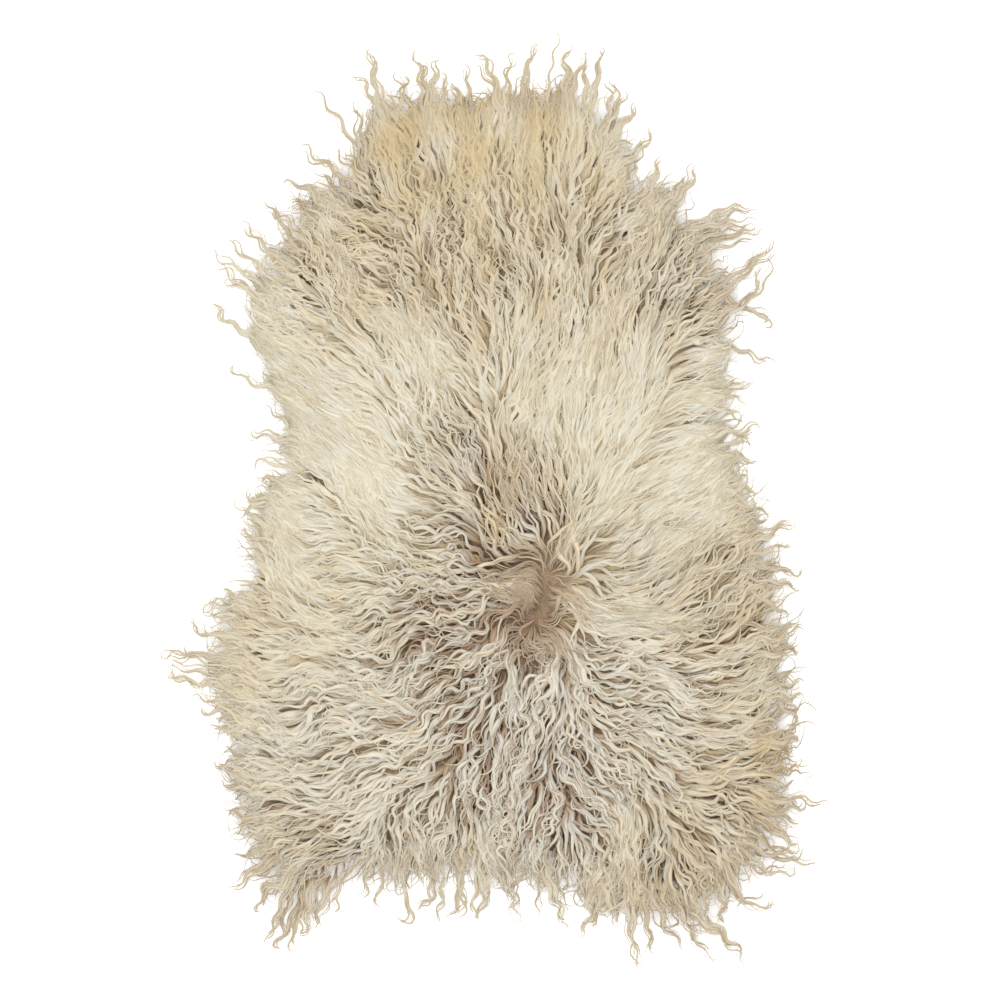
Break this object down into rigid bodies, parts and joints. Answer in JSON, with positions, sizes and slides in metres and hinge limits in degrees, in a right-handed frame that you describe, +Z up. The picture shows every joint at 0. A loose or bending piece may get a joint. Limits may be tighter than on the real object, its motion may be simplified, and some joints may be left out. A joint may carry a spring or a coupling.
{
  "type": "sheepskin rug",
  "caption": "Long-haired curly sheepskin rug in its natural skin outline, cream wool parting at a whorl, lying flat with its flat skin side down.",
  "frame": {"origin": "middle of the box's bottom face, on the floor under the rug", "axes": "+Z up out of the wool, +Y along the skin from tail end to neck end, +X to the right of a viewer who looks down on the wool with the neck end up"},
  "size_m": [0.813, 1.1078, 0.0528],
  "materials": {
    "wool": "long curly cream wool, soft sheen, browner at its roots",
    "hide": "tanned suede skin side, matt"
  },
  "bodies": {
    "root": {"sheepskin": "wool"}
  },
  "joints": []
}
